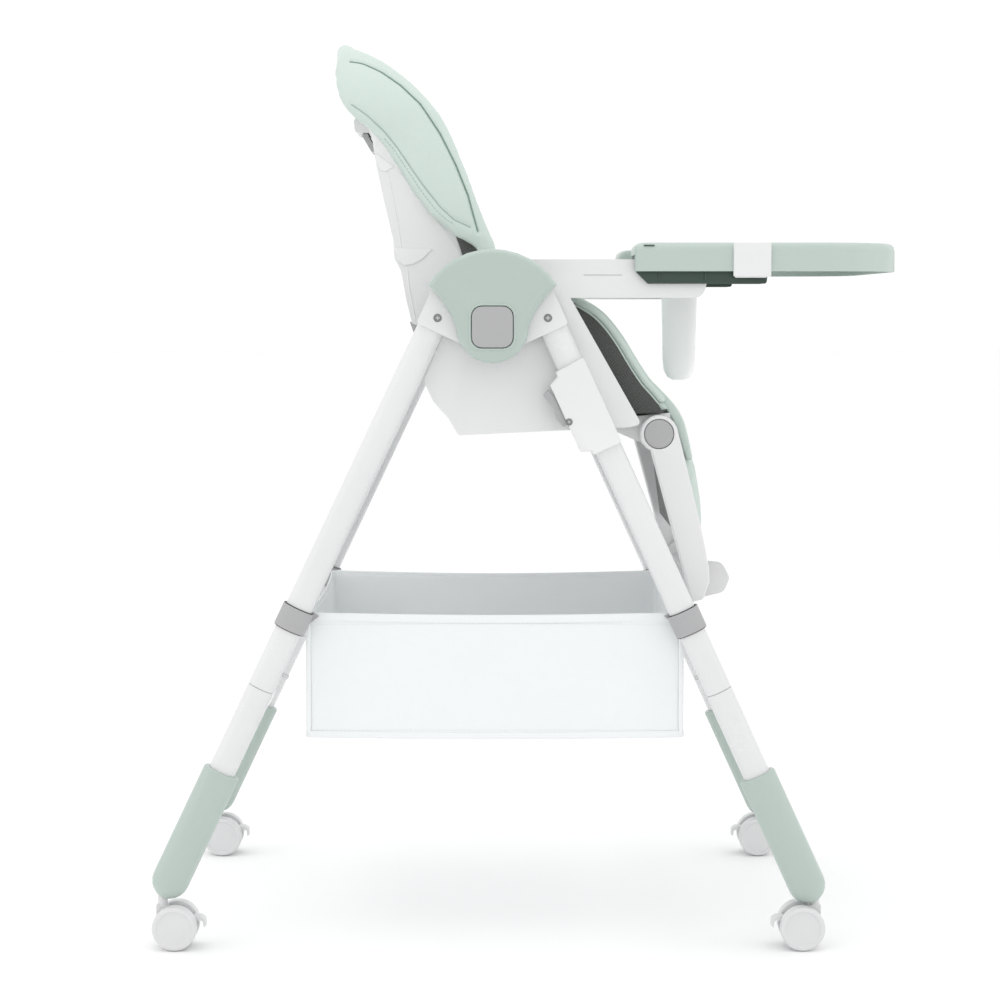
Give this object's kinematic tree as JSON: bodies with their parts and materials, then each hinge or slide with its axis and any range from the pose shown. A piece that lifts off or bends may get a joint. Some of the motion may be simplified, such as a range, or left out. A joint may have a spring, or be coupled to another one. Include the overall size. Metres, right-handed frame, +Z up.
{
  "type": "high chair",
  "caption": "Folding baby high chair on casters with a sliding seat, reclining back, leg rest, lift-off tray and cloth basket.",
  "frame": {"origin": "on the floor, in the middle of the chair's bounding box", "axes": "+Z up; +X the way the child faces, tray end; +Y the child's left, across the chair"},
  "size_m": [0.8436, 0.5736, 1.029],
  "materials": {
    "leg_tube": "white gloss powder coat",
    "white_plastic": "smooth satin white moulding",
    "mint_plastic": "smooth satin mint moulding",
    "grey_plastic": "fine matt grey",
    "pale_plastic": "pale grey matt",
    "dark_plastic": "dark green matt",
    "cushion": "foam under mint leather-look cover",
    "basket_cloth": "white coated cloth",
    "caster_plastic": "white caster plastic"
  },
  "bodies": {
    "front_frame": {"front_crossbar": "leg_tube", "basket": "basket_cloth", "front_upper_leg_right": "leg_tube", "front_lower_leg_right": "leg_tube", "front_foot_sleeve_right": "mint_plastic", "front_basket_clip_right": "grey_plastic", "front_hub_socket_right": "white_plastic", "hub_cover_right": "mint_plastic", "front_upper_leg_left": "leg_tube", "front_lower_leg_left": "leg_tube", "front_foot_sleeve_left": "mint_plastic", "front_basket_clip_left": "grey_plastic", "front_hub_socket_left": "white_plastic", "hub_cover_left": "mint_plastic"},
    "rear_frame": {"rear_crossbar": "leg_tube", "rear_upper_leg_right": "leg_tube", "rear_lower_leg_right": "leg_tube", "rear_foot_sleeve_right": "mint_plastic", "rear_basket_clip_right": "grey_plastic", "rear_hub_socket_right": "white_plastic", "rear_upper_leg_left": "leg_tube", "rear_lower_leg_left": "leg_tube", "rear_foot_sleeve_left": "mint_plastic", "rear_basket_clip_left": "grey_plastic", "rear_hub_socket_left": "white_plastic"},
    "seat": {"seat_shell": "white_plastic", "seat_cushion": "cushion", "seat_slider_right": "white_plastic", "seat_slider_left": "white_plastic"},
    "back": {"back_shell": "white_plastic", "back_cushion": "cushion"},
    "recline_handle": {"recline_handle": "grey_plastic"},
    "leg_rest": {"leg_rest_arm_right": "white_plastic", "leg_rest_arm_left": "white_plastic", "footboard": "pale_plastic", "leg_cushion": "cushion"},
    "tray_base": {"tray_base": "dark_plastic", "crotch_post": "white_plastic"},
    "tray_top": {"tray_top": "mint_plastic"},
    "fold_button_right": {"fold_button_right": "grey_plastic"},
    "height_lever_right": {"height_lever_right": "grey_plastic"},
    "leg_button_right": {"leg_button_right": "grey_plastic"},
    "tray_clip_right": {"tray_clip_right": "white_plastic"},
    "fold_button_left": {"fold_button_left": "grey_plastic"},
    "height_lever_left": {"height_lever_left": "grey_plastic"},
    "leg_button_left": {"leg_button_left": "grey_plastic"},
    "tray_clip_left": {"tray_clip_left": "white_plastic"},
    "front_caster_right": {"front_caster_yoke_right": "caster_plastic"},
    "front_wheels_right": {"front_wheel_pair_right": "caster_plastic"},
    "front_brake_right": {"front_caster_brake_right": "caster_plastic"},
    "front_caster_left": {"front_caster_yoke_left": "caster_plastic"},
    "front_wheels_left": {"front_wheel_pair_left": "caster_plastic"},
    "front_brake_left": {"front_caster_brake_left": "caster_plastic"},
    "rear_caster_right": {"rear_caster_yoke_right": "caster_plastic"},
    "rear_wheels_right": {"rear_wheel_pair_right": "caster_plastic"},
    "rear_brake_right": {"rear_caster_brake_right": "caster_plastic"},
    "rear_caster_left": {"rear_caster_yoke_left": "caster_plastic"},
    "rear_wheels_left": {"rear_wheel_pair_left": "caster_plastic"},
    "rear_brake_left": {"rear_caster_brake_left": "caster_plastic"}
  },
  "joints": [
    {"name": "frame_fold", "type": "hinge", "parent": "front_frame", "child": "rear_frame", "pos_m": [-0.038, 0, 0.699], "axis": [0, -1, 0], "range_deg": [0, 48]},
    {"name": "seat_height", "type": "slide", "parent": "front_frame", "child": "seat", "axis": [0.4163, 0, -0.9092], "range_m": [0, 0.18]},
    {"name": "back_recline", "type": "hinge", "parent": "seat", "child": "back", "pos_m": [-0.045, 0, 0.692], "axis": [0, -1, 0], "range_deg": [0, 38]},
    {"name": "recline_squeeze", "type": "hinge", "parent": "back", "child": "recline_handle", "pos_m": [-0.1945, 0, 0.9255], "axis": [0, 1, 0], "range_deg": [0, 14], "stiffness_Nm_per_rad": 0.6, "springref_deg": -8.59},
    {"name": "leg_rest_lift", "type": "hinge", "parent": "seat", "child": "leg_rest", "pos_m": [0.15, 0, 0.578], "axis": [0, -1, 0], "range_deg": [0, 75]},
    {"name": "tray_slide", "type": "slide", "parent": "seat", "child": "tray_base", "axis": [1, 0, 0], "range_m": [0, 0.1]},
    {"name": "tray_lift", "type": "slide", "parent": "tray_base", "child": "tray_top", "axis": [0, 0, 1], "range_m": [0, 0.06]},
    {"name": "fold_button_press_right", "type": "slide", "parent": "front_frame", "child": "fold_button_right", "axis": [0, 1, 0], "range_m": [0, 0.004], "stiffness_N_per_m": 400, "springref_m": -0.004},
    {"name": "height_lever_pull_right", "type": "hinge", "parent": "seat", "child": "height_lever_right", "pos_m": [0.04085, -0.25, 0.59212], "axis": [0, -1, 0], "range_deg": [0, 12], "stiffness_Nm_per_rad": 0.3, "springref_deg": -11.46},
    {"name": "leg_button_press_right", "type": "slide", "parent": "leg_rest", "child": "leg_button_right", "axis": [0, 1, 0], "range_m": [0, 0.003], "stiffness_N_per_m": 400, "springref_m": -0.004},
    {"name": "tray_clip_open_right", "type": "hinge", "parent": "tray_base", "child": "tray_clip_right", "pos_m": [0.2505, -0.2435, 0.7555], "axis": [1, 0, 0], "range_deg": [0, 65]},
    {"name": "fold_button_press_left", "type": "slide", "parent": "front_frame", "child": "fold_button_left", "axis": [0, -1, 0], "range_m": [0, 0.004], "stiffness_N_per_m": 400, "springref_m": -0.004},
    {"name": "height_lever_pull_left", "type": "hinge", "parent": "seat", "child": "height_lever_left", "pos_m": [0.04085, 0.25, 0.59212], "axis": [0, -1, 0], "range_deg": [0, 12], "stiffness_Nm_per_rad": 0.3, "springref_deg": -11.46},
    {"name": "leg_button_press_left", "type": "slide", "parent": "leg_rest", "child": "leg_button_left", "axis": [0, -1, 0], "range_m": [0, 0.003], "stiffness_N_per_m": 400, "springref_m": -0.004},
    {"name": "tray_clip_open_left", "type": "hinge", "parent": "tray_base", "child": "tray_clip_left", "pos_m": [0.2505, 0.2435, 0.7555], "axis": [-1, 0, 0], "range_deg": [0, 65]},
    {"name": "front_swivel_right", "type": "hinge", "parent": "front_frame", "child": "front_caster_right", "pos_m": [0.3253, -0.25, 0.025], "axis": [0, 0, 1], "continuous": true},
    {"name": "front_roll_right", "type": "hinge", "parent": "front_caster_right", "child": "front_wheels_right", "pos_m": [0.3103, -0.25, 0.025], "axis": [0, 1, 0], "continuous": true},
    {"name": "front_brake_press_right", "type": "hinge", "parent": "front_caster_right", "child": "front_brake_right", "pos_m": [0.2891, -0.25, 0.033], "axis": [0, -1, 0], "range_deg": [0, 16]},
    {"name": "front_swivel_left", "type": "hinge", "parent": "front_frame", "child": "front_caster_left", "pos_m": [0.3253, 0.25, 0.025], "axis": [0, 0, 1], "continuous": true},
    {"name": "front_roll_left", "type": "hinge", "parent": "front_caster_left", "child": "front_wheels_left", "pos_m": [0.3103, 0.25, 0.025], "axis": [0, 1, 0], "continuous": true},
    {"name": "front_brake_press_left", "type": "hinge", "parent": "front_caster_left", "child": "front_brake_left", "pos_m": [0.2891, 0.25, 0.033], "axis": [0, -1, 0], "range_deg": [0, 16]},
    {"name": "rear_swivel_right", "type": "hinge", "parent": "rear_frame", "child": "rear_caster_right", "pos_m": [-0.4103, -0.25, 0.025], "axis": [0, 0, 1], "continuous": true},
    {"name": "rear_roll_right", "type": "hinge", "parent": "rear_caster_right", "child": "rear_wheels_right", "pos_m": [-0.3953, -0.25, 0.025], "axis": [0, 1, 0], "continuous": true},
    {"name": "rear_brake_press_right", "type": "hinge", "parent": "rear_caster_right", "child": "rear_brake_right", "pos_m": [-0.3741, -0.25, 0.033], "axis": [0, 1, 0], "range_deg": [0, 16]},
    {"name": "rear_swivel_left", "type": "hinge", "parent": "rear_frame", "child": "rear_caster_left", "pos_m": [-0.4103, 0.25, 0.025], "axis": [0, 0, 1], "continuous": true},
    {"name": "rear_roll_left", "type": "hinge", "parent": "rear_caster_left", "child": "rear_wheels_left", "pos_m": [-0.3953, 0.25, 0.025], "axis": [0, 1, 0], "continuous": true},
    {"name": "rear_brake_press_left", "type": "hinge", "parent": "rear_caster_left", "child": "rear_brake_left", "pos_m": [-0.3741, 0.25, 0.033], "axis": [0, 1, 0], "range_deg": [0, 16]}
  ]
}
